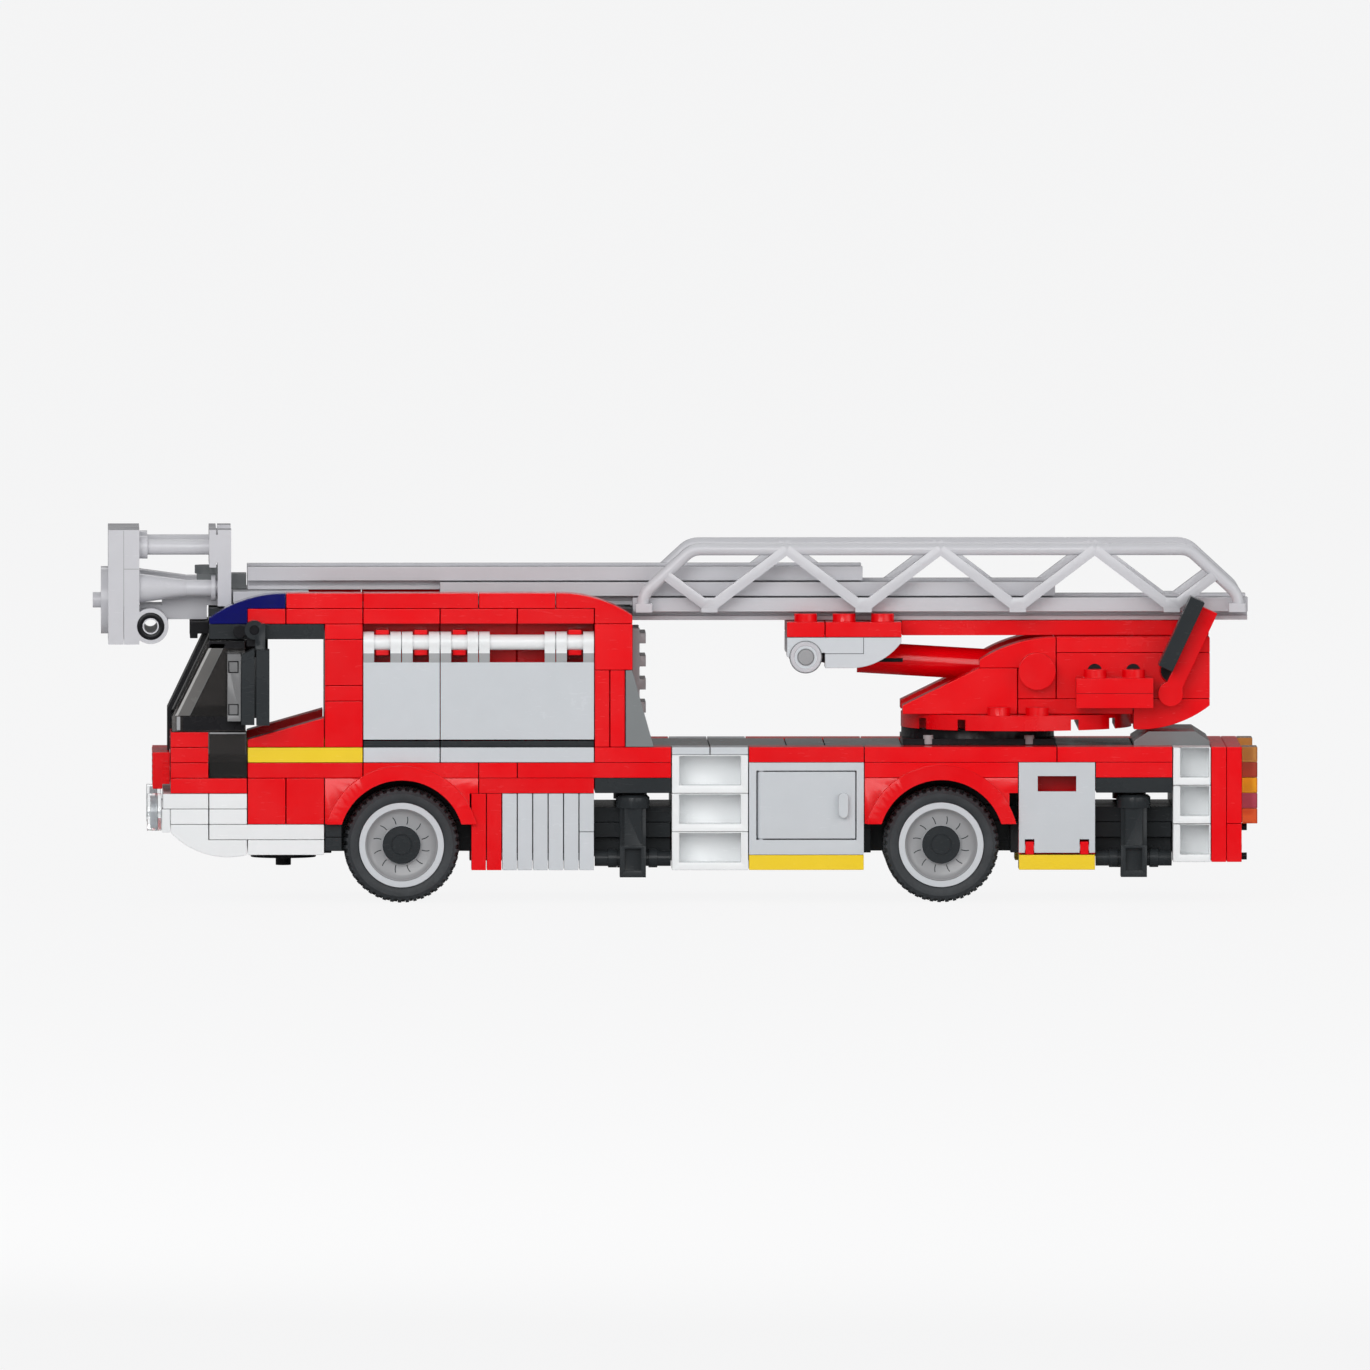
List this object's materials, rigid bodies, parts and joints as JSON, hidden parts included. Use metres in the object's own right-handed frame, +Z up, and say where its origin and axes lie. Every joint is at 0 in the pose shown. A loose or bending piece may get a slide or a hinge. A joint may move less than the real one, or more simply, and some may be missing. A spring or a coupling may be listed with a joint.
{
  "type": "toy fire engine with a turntable ladder",
  "caption": "Toy fire engine of interlocking bricks with a turning, lifting and sliding ladder, a tilting cage, opening lockers and fold-down stabilizers.",
  "frame": {"origin": "on the ground midway between the cage's front and the tail lamps, on the centre plane", "axes": "+X towards the tail, +Y to the engine's right-hand side, +Z up"},
  "size_m": [0.2416, 0.0638, 0.0772],
  "materials": {
    "red": "smooth",
    "white": "smooth",
    "light_grey": "smooth",
    "ladder_grey": "smooth",
    "silver_grey": "smooth",
    "dark_grey": "smooth",
    "black": "smooth",
    "yellow": "smooth",
    "tyre": "matt",
    "smoked": "smooth",
    "clear": "smooth",
    "blue_clear": "smooth",
    "orange_clear": "smooth"
  },
  "bodies": {
    "chassis": {"access_ladder": "silver_grey", "axles": "dark_grey", "blue_beacons": "blue_clear", "cab_bricks": "red", "cab_header": "black", "cabin_bricks": "red", "chassis_frame": "dark_grey", "cupboard_frames": "light_grey", "deck_console": "silver_grey", "deck_tiles": "silver_grey", "flap_bars": "white", "front_bumper": "white", "headlights": "clear", "mirrors": "dark_grey", "rear_slopes": "silver_grey", "ribbed_panels": "light_grey", "roof_deck": "dark_grey", "roof_rails": "red", "side_bricks": "red", "side_steps": "white", "stabilizer_bars": "dark_grey", "tail_lamps": "orange_clear", "tail_plates": "red", "turntable_base": "black", "wheel_arches": "red", "windscreen": "smoked", "yellow_stripes": "yellow"},
    "turret": {"turret_plate": "red", "turret_housing": "red", "operator_stand": "red"},
    "boom": {"boom_plates": "red", "boom_brackets": "light_grey", "ladder_base": "ladder_grey", "ladder_truss": "ladder_grey"},
    "ladder_middle": {"ladder_middle": "ladder_grey"},
    "ladder_fly": {"ladder_fly": "ladder_grey", "cage_arm": "ladder_grey"},
    "cage": {"cage": "ladder_grey"},
    "lift_cylinder": {"lift_cylinder": "red"},
    "lift_rod": {"lift_rod": "dark_grey"},
    "wheel_front_left": {"tyre_front_left": "tyre", "rim_front_left": "silver_grey"},
    "flap_front_left": {"flap_front_left": "light_grey"},
    "stabilizer_front_left": {"stabilizer_front_left": "dark_grey"},
    "wheel_front_right": {"tyre_front_right": "tyre", "rim_front_right": "silver_grey"},
    "flap_front_right": {"flap_front_right": "light_grey"},
    "stabilizer_front_right": {"stabilizer_front_right": "dark_grey"},
    "wheel_rear_left": {"tyre_rear_left": "tyre", "rim_rear_left": "silver_grey"},
    "flap_rear_left": {"flap_rear_left": "light_grey"},
    "stabilizer_rear_left": {"stabilizer_rear_left": "dark_grey"},
    "wheel_rear_right": {"tyre_rear_right": "tyre", "rim_rear_right": "silver_grey"},
    "flap_rear_right": {"flap_rear_right": "light_grey"},
    "stabilizer_rear_right": {"stabilizer_rear_right": "dark_grey"},
    "cupboard_door_left": {"cupboard_door_left": "light_grey"},
    "hatch_left": {"hatch_left": "light_grey"},
    "cupboard_door_right": {"cupboard_door_right": "light_grey"},
    "hatch_right": {"hatch_right": "light_grey"}
  },
  "joints": [
    {"name": "wheel_front_left_spin", "type": "hinge", "parent": "chassis", "child": "wheel_front_left", "pos_m": [-0.0568, -0.016, 0.012], "axis": [0, 1, 0], "continuous": true},
    {"name": "wheel_front_right_spin", "type": "hinge", "parent": "chassis", "child": "wheel_front_right", "pos_m": [-0.0568, 0.016, 0.012], "axis": [0, 1, 0], "continuous": true},
    {"name": "wheel_rear_left_spin", "type": "hinge", "parent": "chassis", "child": "wheel_rear_left", "pos_m": [0.0552, -0.016, 0.012], "axis": [0, 1, 0], "continuous": true},
    {"name": "wheel_rear_right_spin", "type": "hinge", "parent": "chassis", "child": "wheel_rear_right", "pos_m": [0.0552, 0.016, 0.012], "axis": [0, 1, 0], "continuous": true},
    {"name": "turret_slew", "type": "hinge", "parent": "chassis", "child": "turret", "pos_m": [0.0632, 0, 0.036], "axis": [0, 0, 1], "continuous": true},
    {"name": "boom_lift", "type": "hinge", "parent": "turret", "child": "boom", "pos_m": [0.1032, 0, 0.0478], "axis": [0, 1, 0], "range_deg": [0, 60]},
    {"name": "lift_cylinder_pivot", "type": "hinge", "parent": "turret", "child": "lift_cylinder", "pos_m": [0.0752, 0, 0.0478], "axis": [0, 1, 0], "range_deg": [0, 81]},
    {"name": "lift_rod_slide", "type": "slide", "parent": "lift_cylinder", "child": "lift_rod", "axis": [-0.9982, 0, 0.0603], "range_m": [0, 0.0198]},
    {"name": "ladder_middle_slide", "type": "slide", "parent": "boom", "child": "ladder_middle", "axis": [-1, 0, 0], "range_m": [0, 0.064]},
    {"name": "ladder_fly_slide", "type": "slide", "parent": "ladder_middle", "child": "ladder_fly", "axis": [-1, 0, 0], "range_m": [0, 0.064]},
    {"name": "cage_tilt", "type": "hinge", "parent": "ladder_fly", "child": "cage", "pos_m": [-0.1088, 0, 0.0572], "axis": [0, -1, 0], "range_deg": [0, 60]},
    {"name": "flap_front_left_hinge", "type": "hinge", "parent": "chassis", "child": "flap_front_left", "pos_m": [-0.0408, -0.0216, 0.0541], "axis": [-1, 0, 0], "range_deg": [0, 100]},
    {"name": "flap_front_right_hinge", "type": "hinge", "parent": "chassis", "child": "flap_front_right", "pos_m": [-0.0408, 0.0216, 0.0541], "axis": [1, 0, 0], "range_deg": [0, 100]},
    {"name": "flap_rear_left_hinge", "type": "hinge", "parent": "chassis", "child": "flap_rear_left", "pos_m": [-0.0408, -0.0216, 0.0541], "axis": [-1, 0, 0], "range_deg": [0, 100]},
    {"name": "flap_rear_right_hinge", "type": "hinge", "parent": "chassis", "child": "flap_rear_right", "pos_m": [-0.0408, 0.0216, 0.0541], "axis": [1, 0, 0], "range_deg": [0, 100]},
    {"name": "cupboard_door_left_hinge", "type": "hinge", "parent": "chassis", "child": "cupboard_door_left", "pos_m": [0.01785, -0.023, 0.0197], "axis": [0, 0, -1], "range_deg": [0, 100]},
    {"name": "hatch_left_hinge", "type": "hinge", "parent": "chassis", "child": "hatch_left", "pos_m": [0.0792, -0.023, 0.0114], "axis": [1, 0, 0], "range_deg": [0, 90]},
    {"name": "cupboard_door_right_hinge", "type": "hinge", "parent": "chassis", "child": "cupboard_door_right", "pos_m": [0.01785, 0.023, 0.0197], "axis": [0, 0, 1], "range_deg": [0, 100]},
    {"name": "hatch_right_hinge", "type": "hinge", "parent": "chassis", "child": "hatch_right", "pos_m": [0.0792, 0.023, 0.0114], "axis": [-1, 0, 0], "range_deg": [0, 90]},
    {"name": "stabilizer_front_left_hinge", "type": "hinge", "parent": "chassis", "child": "stabilizer_front_left", "pos_m": [-0.0088, -0.02, 0.0091], "axis": [1, 0, 0], "range_deg": [0, 95]},
    {"name": "stabilizer_front_right_hinge", "type": "hinge", "parent": "chassis", "child": "stabilizer_front_right", "pos_m": [-0.0088, 0.02, 0.0091], "axis": [-1, 0, 0], "range_deg": [0, 95]},
    {"name": "stabilizer_rear_left_hinge", "type": "hinge", "parent": "chassis", "child": "stabilizer_rear_left", "pos_m": [0.0952, -0.02, 0.0091], "axis": [1, 0, 0], "range_deg": [0, 95]},
    {"name": "stabilizer_rear_right_hinge", "type": "hinge", "parent": "chassis", "child": "stabilizer_rear_right", "pos_m": [0.0952, 0.02, 0.0091], "axis": [-1, 0, 0], "range_deg": [0, 95]}
  ],
  "couplings": [
    {"joint": "lift_cylinder_pivot", "follows": "boom_lift", "ratio": 1.3365},
    {"joint": "lift_rod_slide", "follows": "boom_lift", "m_per_rad": 0.018713}
  ]
}
